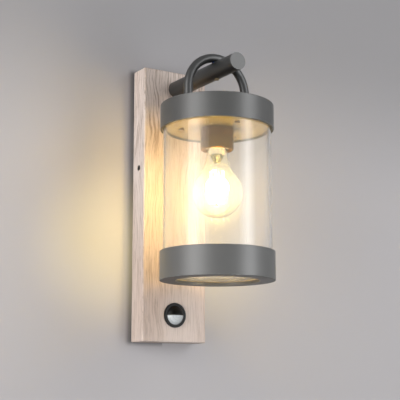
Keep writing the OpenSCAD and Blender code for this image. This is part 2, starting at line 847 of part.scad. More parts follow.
// Ring profile helper: a rectangle whose outer corners are rounded
module edge_profile(r0, r1, z0, z1, top_round, bottom_round) {
    translate([r0, z0 + bottom_round]) square([r1 - r0, z1 - z0 - bottom_round - top_round]);
    e = max(top_round, bottom_round);
    translate([r0, z0]) square([r1 - r0 - e, z1 - z0]);
    if (top_round > 0) translate([r1 - top_round, z1 - top_round]) circle(r = top_round);
    if (bottom_round > 0) translate([r1 - bottom_round, z0 + bottom_round]) circle(r = bottom_round);
}

module cap_shell() {
    plate_z = cap_top_z - cap_top_t;
    color([0.32, 0.33, 0.34]) at_lantern() difference() {
        union() {
            rotate_extrude() difference() {
                edge_profile(0, cap_r, cap_bottom_z, cap_top_z, cap_edge_r, cap_edge_r);
                translate([-1, cap_bottom_z - 1]) square([cap_bore_r + 1, cap_h - cap_top_t + 1]);
                translate([cap_bore_r - 1, seal_z]) square([1 + seal_groove, seal_h]);
            }
            for (a = ceiling_screw_angles) rotate(a) translate([ceiling_screw_pcr, 0, 0])
                rod_z(standoff_r, ceiling_top_z + clip_t, plate_z + EPS);
        }
        for (a = ceiling_screw_angles) rotate(a) translate([ceiling_screw_pcr, 0, 0])
            rod_z(ceiling_screw_r + RUN_GAP, ceiling_top_z, plate_z - 4);
        for (x = [-1, 1]) translate([x * loop_r, 0, 0])
            rod_z(spigot_r + RUN_GAP, plate_z - 1, cap_top_z + 1);
    }
}

module cap_seal() {
    color([0.75, 0.75, 0.72]) at_lantern()
        tube_z(cap_bore_r + seal_groove - SEAT_GAP, tube_r + MOVE_GAP,
               seal_z + SEAT_GAP, seal_z + seal_h - SEAT_GAP);
}

module ceiling_plate() {
    color([0.93, 0.88, 0.76]) at_lantern() difference() {
        rod_z(ceiling_r, ceiling_z, ceiling_top_z);
        rod_z(holder_neck_r + SEAT_GAP, ceiling_z - 1, ceiling_top_z + 1);
        for (a = ceiling_screw_angles) rotate(a) translate([ceiling_screw_pcr, 0, 0])
            rod_z(ceiling_screw_r + SEAT_GAP, ceiling_z - 1, ceiling_top_z + 1);
    }
}

module ceiling_screws() {
    color("silver") at_lantern() for (a = ceiling_screw_angles)
        rotate(a) translate([ceiling_screw_pcr, 0, ceiling_z])
            slotted_screw(ceiling_head_r, ceiling_head_h, ceiling_screw_r, ceiling_screw_l);
}

// Sprung strip that grips the clear tube from inside, one under each standoff
module shade_clip() {
    leg_r = tube_bore_r - MOVE_GAP - 2 * clip_bead_r;
    translate([ceiling_screw_pcr, 0, ceiling_top_z]) difference() {
        translate([-6, -clip_w / 2, 0]) cube([leg_r - ceiling_screw_pcr + 6 + clip_t, clip_w, clip_t]);
        translate([0, 0, -1]) cylinder(h = clip_t + 2, r = ceiling_screw_r + SEAT_GAP);
    }
    translate([leg_r, -clip_w / 2, ceiling_top_z]) cube([clip_t, clip_w, clip_rise]);
    translate([leg_r + clip_bead_r, clip_w / 2, ceiling_top_z + clip_rise - 2 * clip_bead_r])
        rotate([90, 0, 0]) cylinder(h = clip_w, r = clip_bead_r);
}

module shade_clips() {
    color("silver") at_lantern() for (a = ceiling_screw_angles) rotate(a) shade_clip();
}

// ---------- lampholder ----------

module holder_body() {
    color([0.9, 0.88, 0.82]) at_lantern() difference() {
        union() {
            rod_z(holder_skirt_r, holder_bottom_z, holder_shoulder_z);
            rod_z(holder_neck_r, holder_shoulder_z - EPS, holder_top_z);
        }
        rod_z(shell_r + SEAT_GAP, holder_bottom_z - 1, shell_top_z + 0.6);
        rod_z(7, shell_top_z, holder_floor_z);
        for (y = [-1, 1]) translate([0, y * holder_wire_pitch / 2, holder_wire_z])
            rod_x(wire_hole_r, -holder_neck_r - 1, -holder_neck_r + 9);
    }
}

module holder_sleeve() {
    top_r = holder_neck_r + SEAT_GAP;
    color([0.62, 0.61, 0.62]) at_lantern() rotate_extrude() {
        translate([sleeve_r - sleeve_wall, sleeve_bottom_z + sleeve_edge_r])
            square([sleeve_wall, ceiling_z - sleeve_bottom_z - sleeve_edge_r]);
        translate([top_r, ceiling_z - sleeve_wall])
            square([sleeve_r - top_r, sleeve_wall]);
        translate([sleeve_r - sleeve_edge_r, sleeve_bottom_z + sleeve_edge_r]) intersection() {
            difference() {
                circle(r = sleeve_edge_r);
                circle(r = sleeve_edge_r - sleeve_wall);
            }
            translate([0, -sleeve_edge_r]) square([sleeve_edge_r, sleeve_edge_r]);
        }
    }
}

module holder_ring_nut() {
    color([0.9, 0.88, 0.82]) at_lantern() difference() {
        rod_z(holder_neck_r + 4, ceiling_top_z, ceiling_top_z + ring_nut_t);
        rod_z(holder_neck_r + SEAT_GAP, ceiling_top_z - 1, ceiling_top_z + ring_nut_t + 1);
        for (a = [0:60:300]) rotate(a)
            translate([holder_neck_r + 2.6, -1.5, ceiling_top_z - 1]) cube([4, 3, ring_nut_t + 2]);
    }
}

module screw_shell() {
    color("gold") at_lantern() {
        tube_z(shell_r, shell_bore_r, shell_bottom_z, shell_top_z);
        tube_z(shell_r, 7.5, shell_top_z - EPS, shell_top_z + 0.4);
    }
}

module centre_contact() {
    z = eyelet_z + contact_gap;
    color("gold") at_lantern() {
        translate([-2.5, -2.5, z]) cube([8, 5, contact_t]);
        translate([5.5 - contact_t, -2.5, z]) cube([contact_t, 5, holder_floor_z - z]);
    }
}

// ---------- bulb ----------

module bulb_cap() {
    color("silver") at_lantern() rotate_extrude() difference() {
        union() {
            translate([0, base_rim_z]) square([base_r, BASE_L - insulator_h - eyelet_t - 2]);
            polygon([[0, eyelet_z - insulator_h - eyelet_t - 2.01],
                     [base_r, eyelet_z - insulator_h - eyelet_t - 2.01],
                     [base_r - 3, eyelet_z - insulator_h - eyelet_t],
                     [0, eyelet_z - insulator_h - eyelet_t]]);
        }
        translate([-1, base_rim_z - 1])
            square([base_r - base_shell_t + 1, BASE_L - insulator_h - eyelet_t - 2]);
        translate([-1, base_rim_z]) square([9, BASE_L]);
    }
}

module bulb_insulator() {
    top = eyelet_z - eyelet_t;
    color([0.1, 0.1, 0.1]) at_lantern() rotate_extrude()
        polygon([[0, top - insulator_h - 1], [7.8, top - insulator_h - 1],
                 [7.8, top - insulator_h], [9.8, top - insulator_h],
                 [eyelet_r + 0.6, top], [0, top]]);
}

module bulb_eyelet() {
    color("silver") at_lantern() rod_z(eyelet_r, eyelet_z - eyelet_t, eyelet_z);
}

// Half outline of globe, flare and neck, drawn in by a wall thickness
module bulb_outline(t) {
    neck = bulb_neck_r - t;
    flare = bulb_flare_r + t;
    reach = bulb_neck_r + bulb_flare_r;
    intersection() {
        union() {
            translate([0, globe_z]) circle(r = bulb_r - t);
            difference() {
                translate([0, globe_z])
                    square([reach * bulb_r / (bulb_r + bulb_flare_r), flare_z - globe_z]);
                translate([reach, flare_z]) circle(r = flare);
            }
            translate([0, flare_z - EPS]) square([neck, base_rim_z + neck_in_base - flare_z]);
        }
        translate([0, bulb_tip_z - 5]) square([bulb_r + 5, bulb_l]);
    }
}

module bulb_glass() {
    color([1, 0.97, 0.85, 0.35]) at_lantern() rotate_extrude() difference() {
        bulb_outline(0);
        difference() {
            bulb_outline(bulb_glass_t);
            translate([-1, base_rim_z + neck_in_base - bulb_glass_t])
                square([bulb_neck_r + 2, 10]);
        }
    }
}

module bulb_stem() {
    color([0.95, 0.97, 1, 0.5]) at_lantern() {
        translate([0, 0, stem_top_z - stem_flare_l])
            cylinder(h = stem_flare_l, r1 = stem_r, r2 = bulb_neck_r - bulb_glass_t - RUN_GAP);
        rod_z(stem_r, filament_top_z, stem_top_z - stem_flare_l);
        rod_z(1.6, filament_top_z - stem_tip_l, filament_top_z);
    }
}

// A piece at each filament's place round the bulb's axis
module each_filament() {
    for (i = [0:filaments - 1]) rotate(45 + i * 360 / filaments) children();
}

module bulb_filaments() {
    color([1, 0.85, 0.45]) at_lantern() each_filament()
        translate([filament_ring_r, 0, 0]) rod_z(filament_r, filament_z, filament_z + filament_l);
}

module bulb_supports() {
    low = filament_z - 1.5;
    high = filament_top_z + 1.5;
    color("silver") at_lantern() {
        rod_z(support_r, low, filament_top_z - stem_tip_l);
        rod_z(1.2, low - 0.6, low + 0.8);
        each_filament() {
            translate([0, 0, low]) rod_x(support_r, 0, filament_ring_r);
            translate([filament_ring_r, 0, 0]) rod_z(support_r, low, filament_z);
            translate([filament_ring_r, 0, 0]) rod_z(support_r, filament_top_z, high);
            translate([0, 0, high]) rod_x(support_r, stem_r + RUN_GAP, filament_ring_r);
        }
    }
}

// ---------- clear cylinder and bottom ring ----------

module clear_tube() {
    color([0.95, 0.96, 0.97, 0.3]) at_lantern()
        tube_z(tube_r, tube_bore_r, tube_bottom_z, tube_top_z);
}

module bottom_ring() {
    color([0.34, 0.35, 0.36]) at_lantern() rotate_extrude() difference() {
        edge_profile(lip_r, cap_r, ring_bottom_z, ring_top_z, cap_edge_r, cap_edge_r);
        translate([0, lip_top_z]) square([cap_bore_r, ring_h]);
    }
}

module bottom_disc() {
    color([0.95, 0.93, 0.92, 0.35]) at_lantern() rod_z(cap_bore_r - DROP_GAP, disc_z, disc_z + disc_t);
}

module disc_gasket() {
    color("black") at_lantern() tube_z(cap_bore_r - DROP_GAP, lip_r + 2, lip_top_z, disc_z);
}

module bond_bead() {
    low = tube_bottom_z + 4;
    color([0.8, 0.8, 0.78]) at_lantern() tube_z(cap_bore_r, tube_r, low, low + bond_h);
}

// ---------- leads ----------

// Route of one lamp lead: from the terminal block through the nipple, the arm and the loop
// to the lampholder. side is -1 or 1: the two leads lie side by side and turn together.
function lamp_route(side, pole) =
    let (s = side * (lead_r + 0.15),
         bx = pole_x(pole),
         rise_y = inner_front_y + nipple_inside + 4 + s,
         side_y = lantern_y + s,
         holder_y = lantern_y + side * holder_wire_pitch / 2)
    concat(
        rounded_route([
            [bx, wire_hole_y, block_z + block_h / 2 - lead_in],
            [bx, wire_hole_y, block_z + block_h / 2 + 20],
            [0, rise_y, arm_z - 24],
            [0, rise_y, arm_z + s],
            [0, front_y - arm_root_t - 3, arm_z + s],
            [wire_way_x, lantern_y + 14, arm_z + s],
            [wire_way_x, side_y, arm_z + s],
            [wire_way_x, side_y, crown_z - 2],
            [loop_r * cos(108), side_y, loop_bend_z + loop_r * sin(108)]
        ], 2.5, 3),
        [for (a = [117:9:177]) [loop_r * cos(a), side_y, loop_bend_z + loop_r * sin(a)]],
        rounded_route([
            [-loop_r, side_y, loop_bend_z - 2],
            [-loop_r, side_y, cap_top_z - spigot_l - 1],
            [-loop_r + 4, holder_y, holder_wire_z],
            [-holder_neck_r + lead_in, holder_y, holder_wire_z]
        ], 2, 3));

module lead_live() { color("saddlebrown") cord(lamp_route(1, 0), lead_r); }
module lead_neutral() { color("royalblue") cord(lamp_route(-1, 1), lead_r); }

module module_leads() {
    y = (inner_front_y + module_back_y) / 2;
    z = module_z + module_h / 2;
    color("firebrick") for (i = [-1:1])
        cord(rounded_route([
            [pole_x(i + 1), wire_hole_y, block_z - block_h / 2 + lead_in],
            [pole_x(i + 1), wire_hole_y, block_z - block_h / 2 - 10],
            [i * 4, y, (block_z + module_z) / 2],
            [i * 4, y, z - 2.5]
        ], 6, 4), lead_r);
}

housing();
wall_gasket();
wall_bracket();
side_screws();
cable_grommet();
terminal_block();
terminal_inserts();
terminal_screws();
earth_screw();
sensor_bezel();
sensor_nut();
sensor_retainer();
sensor_eye();
sensor_lens();
pir_board();
sensor_module();
module_screws();
time_dial();
light_dial();
arm_tube();
arm_end_disc();
arm_nipple();
arm_washer();
arm_locknut();
loop_lock_screw();
hanging_loop();
loop_nuts();
cap_shell();
cap_seal();
ceiling_plate();
ceiling_screws();
shade_clips();
holder_body();
holder_sleeve();
holder_ring_nut();
screw_shell();
centre_contact();
bulb_cap();
bulb_insulator();
bulb_eyelet();
bulb_glass();
bulb_stem();
bulb_filaments();
bulb_supports();
clear_tube();
bottom_ring();
bottom_disc();
disc_gasket();
bond_bead();
lead_live();
lead_neutral();
module_leads();
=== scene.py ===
# %% [markdown]
# # An outdoor wall lantern, dressed in Blender
# The lantern hangs on a wood-effect backplate: a straight arm carries a bent tube loop, the loop
# carries a cap with a lampholder, and a clear cylinder stands in a ring below the cap.
# The rigid parts come ready from CAD, in metres, so this lesson gives them their finishes, adds
# the fine pieces that CAD leaves out, and sets up the camera and the light.

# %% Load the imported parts
import math

import bpy
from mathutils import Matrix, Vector


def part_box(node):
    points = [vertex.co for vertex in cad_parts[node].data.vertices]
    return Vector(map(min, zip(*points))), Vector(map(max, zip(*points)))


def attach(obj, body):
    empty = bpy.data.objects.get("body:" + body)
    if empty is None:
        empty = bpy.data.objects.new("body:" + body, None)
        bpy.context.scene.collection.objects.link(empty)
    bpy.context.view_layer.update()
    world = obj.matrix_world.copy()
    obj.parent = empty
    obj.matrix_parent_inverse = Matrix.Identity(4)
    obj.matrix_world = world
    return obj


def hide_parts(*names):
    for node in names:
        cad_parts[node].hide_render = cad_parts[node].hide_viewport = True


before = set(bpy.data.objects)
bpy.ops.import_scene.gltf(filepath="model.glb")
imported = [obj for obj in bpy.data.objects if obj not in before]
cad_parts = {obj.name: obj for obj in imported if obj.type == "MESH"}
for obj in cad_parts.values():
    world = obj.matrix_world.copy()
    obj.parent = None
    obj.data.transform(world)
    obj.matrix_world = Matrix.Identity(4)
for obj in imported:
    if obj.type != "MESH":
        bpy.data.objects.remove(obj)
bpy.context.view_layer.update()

MM = 0.001

# %% [markdown]
# ## Places to measure from
# Every piece that is added later sits on a CAD part, so its place is read from that part's box.
# Typing the numbers again would be quicker, but they would be wrong as soon as a part moved.

# %% Measure the CAD parts
tube_low, tube_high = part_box("clear_tube")
cap_low, cap_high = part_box("cap_shell")
ring_low, ring_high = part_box("bottom_ring")
board_low, board_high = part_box("housing")
AXIS_Y = (tube_low.y + tube_high.y) / 2
print("lantern axis at y", round(AXIS_Y / MM, 2), "mm, cap radius",
      round((cap_high.x - cap_low.x) / 2 / MM, 2), "mm")

# %% [markdown]
# ## Camera
# The lantern is seen from the front left and from slightly below, with a long lens that keeps
# the backplate's sides nearly parallel. A long lens from further off was chosen over a short
# one close by, because it shows the cap and the ring as the same flat ellipses. The Standard
# view shows a colour as it is written, where the film-like default would grey the warm light.

# %% Place the camera
CAMERA_PLACE = Vector((-0.6445, -1.1092, -0.2266))
CAMERA_YAW = math.radians(32.229)
CAMERA_PITCH = math.radians(10.451)
SENSOR_WIDTH = 36
LENS_LENGTH = 92.62
camera_data = bpy.data.cameras.new("camera")
camera_data.sensor_width = SENSOR_WIDTH
camera_data.lens = LENS_LENGTH
camera = bpy.data.objects.new("camera", camera_data)
camera.location = CAMERA_PLACE
camera.rotation_euler = (math.radians(90) + CAMERA_PITCH, 0, -CAMERA_YAW)
bpy.context.scene.collection.objects.link(camera)
bpy.context.scene.camera = camera
bpy.context.scene.view_settings.view_transform = "Standard"
print("camera looks", round(math.degrees(CAMERA_YAW), 1), "degrees to the right of straight on")

# %% [markdown]
# ## Shader maths
# A finish is a recipe of small sums: a grain is a noise times a stretch plus a bend. Drawing
# those sums as nodes by hand is slow, so a thin wrapper round a node's output lets Python's own
# operators add the Math nodes.

# %% Wrap a socket so that sums on it add Math nodes
class Value:
    """A node's output that can be added, multiplied and compared like a number."""

    def __init__(self, finish, socket):
        self.finish = finish
        self.socket = socket

    def sum(self, operation, *others):
        """Adds one Math node with this value first."""
        places = dict(enumerate((self,) + others))
        return self.finish.node("ShaderNodeMath", {"operation": operation}, places)

    def __add__(self, other):
        return self.sum("ADD", other)

    def __sub__(self, other):
        return self.sum("SUBTRACT", other)

    def __mul__(self, other):
        return self.sum("MULTIPLY", other)

    def __pow__(self, other):
        return self.sum("POWER", other)

    def __radd__(self, other):
        return self + other

    def __rmul__(self, other):
        return self * other

    def __rsub__(self, other):
        return self * -1 + other

    def __neg__(self):
        return self * -1

    def __abs__(self):
        return self.sum("ABSOLUTE")

    def step(self, low, high):
        """0 below low, 1 above high and a smooth rise between; low may be the higher one."""
        return self.finish.node(
            "ShaderNodeMapRange", {"interpolation_type": "SMOOTHSTEP"},
            {"Value": self, "From Min": low, "From Max": high})


print("sums on sockets ready")

# %% [markdown]
# ## A finish and its nodes
# Every material on the lantern has one Principled shader. The class below holds it and makes
# every other kind of node with a single method, so that a recipe further down reads as one line
# for each thing that can be seen: a colour, a gloss, a bump.

# %% Make materials and their nodes
class Finish:
    """A material with one Principled shader, and the method that makes its nodes."""

    def __init__(self, name, **uniform):
        self.material = bpy.data.materials.new(name)
        self.material.use_nodes = True
        self.tree = self.material.node_tree
        self.shader = self.tree.nodes["Principled BSDF"]
        self.out = self.tree.nodes["Material Output"]
        for socket, value in uniform.items():
            self.set(socket.replace("_", " ").title().replace("Ior", "IOR"), value)

    def set(self, socket, value):
        """Puts a number, a colour or a node's output on one of the shader's sockets."""
        target = self.shader.inputs[socket]
        if isinstance(value, Value):
            self.tree.links.new(value.socket, target)
        else:
            target.default_value = value
        return self

    def node(self, kind, settings=None, sockets=None, out=0):
        """Makes a node, gives it its settings first, then its values and links."""
        made = self.tree.nodes.new(kind)
        for key, value in (settings or {}).items():
            setattr(made, key, value)
        for key, value in (sockets or {}).items():
            if isinstance(value, Value):
                self.tree.links.new(value.socket, made.inputs[key])
            else:
                made.inputs[key].default_value = value
        return Value(self, made.outputs[out])

    def axis(self, index):
        """One of the three object coordinates, as a value."""
        seen = self.node("ShaderNodeTexCoord", out="Object")
        return self.node("ShaderNodeSeparateXYZ", None, {0: seen}, out=index)

    def noise(self, scale, detail, stretch=(1, 1, 1)):
        """A cloudy value about 0.5; scale is in cycles for each metre."""
        seen = self.node("ShaderNodeTexCoord", out="Object")
        place = self.node("ShaderNodeMapping", None, {"Vector": seen, "Scale": stretch})
        return self.node("ShaderNodeTexNoise", None,
                         {"Vector": place, "Scale": scale, "Detail": detail})

    def mix(self, share, first, second):
        """Blends two colours."""
        return self.node("ShaderNodeMix", {"data_type": "RGBA"},
                         {0: share, 6: first, 7: second}, out=2)

    def bump(self, height, strength, distance):
        """Turns a height into a normal."""
        self.set("Normal", self.node(
            "ShaderNodeBump", None,
            {"Height": height, "Strength": strength, "Distance": distance}))
        return self


print("finishes ready")

# %% [markdown]
# ## Colours as they are seen
# A shader counts light, and the eye doesn't: half as bright to the eye is a fifth of the light.
# Colours are written here as seen, from 0 to 255, and turned into amounts of light once.

# %% Turn seen colours into light
def rgb(red, green, blue):
    """A colour written as seen, 0 to 255, turned into the shader's linear numbers."""
    linear = [(c / 255 / 12.92) if c <= 10 else ((c / 255 + 0.055) / 1.055) ** 2.4
              for c in (red, green, blue)]
    return (*linear, 1)


def dimmed(colour, share):
    """The same colour with only a share of its light."""
    return (*[c * share for c in colour[:3]], 1)


BLACK = rgb(0, 0, 0)
print("mid grey is", [round(c, 3) for c in rgb(128, 128, 128)])

# %% [markdown]
# ## A stage that holds no light off
# A wall lantern needs its wall, but a real wall and floor would shut out the lamps that stand
# behind and below. So both sheets are see-through for every ray that carries light, and shown
# only to the camera, to mirrors and to glass.

# %% Make sheets that only the camera, mirrors and glass see
SEEING_RAYS = ("Is Camera Ray", "Is Glossy Ray", "Is Transmission Ray")


def start():
    """Nothing stays selected from the step before."""
    bpy.ops.object.select_all(action="DESELECT")


def stage_plane(name, size, place, turn=(0, 0, 0)):
    """A big flat sheet with the given name; it is attached to none of the lantern's bodies."""
    start()
    bpy.ops.mesh.primitive_plane_add(size=size, location=place, rotation=turn)
    sheet = bpy.context.object
    sheet.name = name
    return sheet


def only_seen(paint, share=1):
    """Leaves a paint to the camera, mirrors and glass, so that lamps shine through its sheet."""
    camera_ray, glossy_ray, glass_ray = [
        paint.node("ShaderNodeLightPath", out=ray) for ray in SEEING_RAYS]
    seen = camera_ray.sum("MAXIMUM", glossy_ray).sum("MAXIMUM", glass_ray)
    clear = paint.node("ShaderNodeBsdfTransparent")
    both = paint.node("ShaderNodeMixShader", None,
                      {0: seen * share, 1: clear, 2: Value(paint, paint.shader.outputs[0])})
    paint.tree.links.new(both.socket, paint.out.inputs["Surface"])
    paint.material.cycles.emission_sampling = "NONE"
    return paint.material


print("sheets are shown to", len(SEEING_RAYS), "kinds of ray")

# %% [markdown]
# ## The wall
# The wall is matt grey paint. Three things painted on it tell the eye where the lantern hangs:
# painted shade makes it darker high up, a painted shadow runs along the board's left edge, and
# the lamp throws a warm pool beside the board. The bulb lights that pool by itself, but it would
# have to be so strong that the board burns out, so a little painted light in the paint helps it.
# The wall is shown from its front only, and the back of the backplate can be looked at too.

# %% Paint the wall
WALL_SIZE = 3
WALL_PLACE = 0.0002
WALL_GREYS = rgb(199, 196, 198), rgb(194, 191, 193)
# Painted shade: the grey high up on the wall is darker, and this is where it starts.
WALL_TOP_PAINTED_SHADE = rgb(170, 168, 170)
WALL_TOP_SHADE_RISE = (0.27, 0.02)
# A painted shadow along the board's left edge: its tone, depth, edge and height.
SHADOW_TONE = rgb(48, 46, 46)
SHADOW_DEPTH = 0.6
SHADOW_EDGE = (-0.054, -0.046)
SHADOW_HALF_HEIGHT = (0.176, 0.168)
POOL_LIGHT = (0.24, 0.19, 0.07, 1)
POOL_ASIDE = 0.082
POOL_BELOW = 0.055
POOL_REACH = (0.120, 0.010)
POOL_WEAKER_RIGHT = (-0.02, 0.02)


def wall_finish():
    """Matt grey with a painted darker top, a painted shadow along the board and the lamp's pool
    painted in as light.
    """
    paint = Finish("wall_paint", roughness=0.9, specular_ior_level=0.1)
    side, up = paint.axis(0), paint.axis(1)
    grey = paint.mix(paint.noise(1.4, 1), *WALL_GREYS)
    # Painted shade darkens the wall high up.
    grey = paint.mix(up.step(*WALL_TOP_SHADE_RISE), WALL_TOP_PAINTED_SHADE, grey)
    # The painted shadow: a dark strip on the wall just left of the board.
    left_half = side.step(0.0, -0.001)
    shadow = side.step(*SHADOW_EDGE) * left_half * abs(up).step(*SHADOW_HALF_HEIGHT)
    paint.set("Base Color", paint.mix(shadow * SHADOW_DEPTH, grey, SHADOW_TONE))
    beside, below = abs(side) - POOL_ASIDE, up + POOL_BELOW
    pool = ((beside * beside + below * below) ** 0.5).step(*POOL_REACH)
    stronger_left = 1 - side.step(*POOL_WEAKER_RIGHT) * 0.5
    paint.set("Emission Color", paint.mix(pool * stronger_left, BLACK, POOL_LIGHT))
    paint.set("Emission Strength", 1.0)
    return only_seen(paint, 1 - paint.node("ShaderNodeNewGeometry", out="Backfacing"))


wall = stage_plane("stage_wall", WALL_SIZE, (0, WALL_PLACE, 0), (math.radians(90), 0, 0))
wall.data.materials.append(wall_finish())
print("wall", WALL_SIZE, "m wide, just behind y 0")

# %% [markdown]
# ## The floor
# The floor is far below, as it is for a lantern beside a door. A matt sheet would turn dark away
# from the lamps, so it gets a little light of its own, which keeps it pale to its edge.

# %% Lay the floor
FLOOR_SIZE = 12
FLOOR_DEPTH = 1.5
FLOOR_GREYS = rgb(208, 208, 210), rgb(204, 204, 206)
FLOOR_LIGHT = 0.36


def floor_finish():
    """Pale matt floor with a little light of its own."""
    paint = Finish("floor_paint", roughness=0.9, specular_ior_level=0.1)
    grey = paint.mix(paint.noise(1.4, 1), *FLOOR_GREYS)
    paint.set("Base Color", grey)
    paint.set("Emission Color", grey)
    paint.set("Emission Strength", FLOOR_LIGHT)
    return only_seen(paint)


floor = stage_plane("stage_floor", FLOOR_SIZE, (0, 0, -FLOOR_DEPTH))
floor.data.materials.append(floor_finish())
print("floor", FLOOR_DEPTH, "m below the lantern's middle")

# %% [markdown]
# ## The surround
# An even, weak grey light from all sides lifts the shadows. If the camera saw that same weak
# grey, the space round the lantern would look dark, so the camera, mirrors and glass are shown
# a paler backdrop, which lights nothing.

# %% Set up the surround
SURROUND_TONE = rgb(236, 237, 240)
SURROUND_STRENGTH = 0.13
BACKDROP_TONE = rgb(196, 196, 198)

world = bpy.data.worlds.new("studio")
bpy.context.scene.world = world
world.use_nodes = True
world_nodes = world.node_tree.nodes
join = world.node_tree.links.new
surround = world_nodes["Background"]
surround.inputs["Color"].default_value = SURROUND_TONE
surround.inputs["Strength"].default_value = SURROUND_STRENGTH
backdrop = world_nodes.new("ShaderNodeBackground")
backdrop.inputs["Color"].default_value = BACKDROP_TONE
path = world_nodes.new("ShaderNodeLightPath")
shown = path.outputs[SEEING_RAYS[0]]
for ray in SEEING_RAYS[1:]:
    larger = world_nodes.new("ShaderNodeMath")
    larger.operation = "MAXIMUM"
    join(shown, larger.inputs[0])
    join(path.outputs[ray], larger.inputs[1])
    shown = larger.outputs[0]
either = world_nodes.new("ShaderNodeMixShader")
for place, socket in enumerate((shown, surround.outputs[0], backdrop.outputs[0])):
    join(socket, either.inputs[place])
join(either.outputs[0], world_nodes["World Output"].inputs[0])
print("surround strength", SURROUND_STRENGTH)

# %% [markdown]
# ## Soft studio light
# Powder-coated tubes and cylinders show the lights as soft upright bands. Two tall panels, one
# square to the left and one to the front right, give a light band on each flank and leave a
# darker one between them. A low panel lifts the undersides, and one behind the wall lights the
# back. One lamp has a hard edge in a mirror, so a panel is five lamps of growing width, one
# behind the other, and fades outwards. Seen through glass they would be white sheets, so glass
# doesn't show them.

# %% Set up the panels
LANTERN_MIDDLE = Vector((0, -0.09, 0))
PANEL_SHARES = (0.25, 0.55, 0.85, 1.15, 1.5)
PANEL_GAP = 0.005
PANELS = {
    "panel_left": ((-1.2, -0.33, 0.0), 0.95, 1.7, 19.5, (1, 0.99, 0.98)),
    "panel_right": ((0.70, -1.26, 0.0), 0.60, 1.7, 14.0, (0.98, 0.99, 1)),
    "panel_low": ((0.1, -1.1, -1.1), 0.9, 0.6, 1.3, (1, 1, 1)),
    "panel_back": ((0.1, 1.5, 0.4), 0.9, 1.2, 9.0, (1, 1, 1)),
}


def light_panel(name, place, width, height, power, colour):
    """A softbox that faces the lantern: nested lamps make it fade from its middle outwards."""
    toward = LANTERN_MIDDLE - Vector(place)
    for count, share in enumerate(PANEL_SHARES):
        data = bpy.data.lights.new(f"{name}_{count}", "AREA")
        data.shape = "RECTANGLE"
        data.size = width * share
        data.size_y = height
        data.energy = power * share / sum(PANEL_SHARES)
        data.color = colour
        lamp = bpy.data.objects.new(data.name, data)
        lamp.location = Vector(place) - toward.normalized() * (PANEL_GAP * count)
        lamp.rotation_euler = toward.to_track_quat("-Z", "Y").to_euler()
        lamp.visible_transmission = False
        bpy.context.scene.collection.objects.link(lamp)


for name, panel in PANELS.items():
    light_panel(name, *panel)
print(len(PANELS), "panels, each of", len(PANEL_SHARES), "nested lamps")

# %% [markdown]
# ## The lamp's own light
# The glowing strips in the bulb are thin, and light that leaves them through three layers of
# glass would be grainy. A small round lamp in the middle of the bulb stands for them, so the
# cap and the ring cut its light into the warm pool on the board, with soft edges.

# %% Put a warm lamp in the bulb
bulb_low, bulb_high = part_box("bulb_filaments")
GLOW_MIDDLE = Vector((0, AXIS_Y, (bulb_low.z + bulb_high.z) / 2))
GLOW_TONE = (1.0, 0.68, 0.16)
GLOW_POWER = 0.41
GLOW_RADIUS = 0.016
glow_data = bpy.data.lights.new("bulb_light", "POINT")
glow_data.energy = GLOW_POWER
glow_data.color = GLOW_TONE
glow_data.shadow_soft_size = GLOW_RADIUS
glow = bpy.data.objects.new("bulb_light", glow_data)
glow.location = GLOW_MIDDLE
bpy.context.scene.collection.objects.link(glow)
print("bulb light at z", round(GLOW_MIDDLE.z / MM, 1), "mm")

# %% [markdown]
# ## Grain along the board
# Real oak shows three scales at once: broad pale and brown drifts, wavy growth lines and short
# dark pores. Noise drawn out along Z gives the lines and the pores. The grain belongs to a
# thin skin on the board's outer faces, so a mask tells the outside from the inside. Object
# coordinates carry both round the corners.

# %% Draw noise out along the grain, and find the outer faces
GROWTH_LINES = (560, 17, 4.0)
PORE_LINES = (1400, 60, 3.0)
SKIN_FADE = (0.7 * MM, 0.4 * MM)


def streaks(finish, across, up, per_metre_across, per_metre_up, detail):
    """Noise drawn out along the grain."""
    flat = finish.node("ShaderNodeCombineXYZ", None,
                       {0: across * per_metre_across, 1: up * per_metre_up})
    return finish.node("ShaderNodeTexNoise", {"noise_dimensions": "2D"},
                       {"Vector": flat, "Scale": 1.0, "Detail": detail, "Roughness": 0.65})


def outside(finish):
    """1 on the board's outer faces and 0 inside it."""
    inner, outer = SKIN_FADE
    mask = (-finish.axis(1)).step(-board_low.y - inner, -board_low.y - outer)
    for axis, edge in ((0, board_high.x), (2, board_high.z)):
        mask = mask.sum("MAXIMUM", abs(finish.axis(axis)).step(edge - inner, edge - outer))
    return mask


print("grain:", GROWTH_LINES[0], "growth lines and", PORE_LINES[0], "pores to the metre")

# %% [markdown]
# ## Bleached oak on the backplate
# The housing wears a wood-effect skin: a bleached, pinkish oak whose grain runs up the board
# and round its sides. A slow noise bends the growth lines sideways, and the pores are darkest
# where a growth line passes. The grain is strongest near the top and weakest at the foot. The
# same recipe shows a plain grey primer inside the housing.

# %% Make the oak
OAK_PALE = rgb(226, 211, 202)
OAK_ROSE = rgb(211, 191, 179)
OAK_BROWN = rgb(160, 136, 118)
OAK_PORE = rgb(122, 100, 84)
PRIMER = rgb(150, 151, 150), rgb(142, 143, 142)
STRONGER_ABOVE = (0.0, 0.11)
WEAKER_BELOW = (-0.06, -0.13)


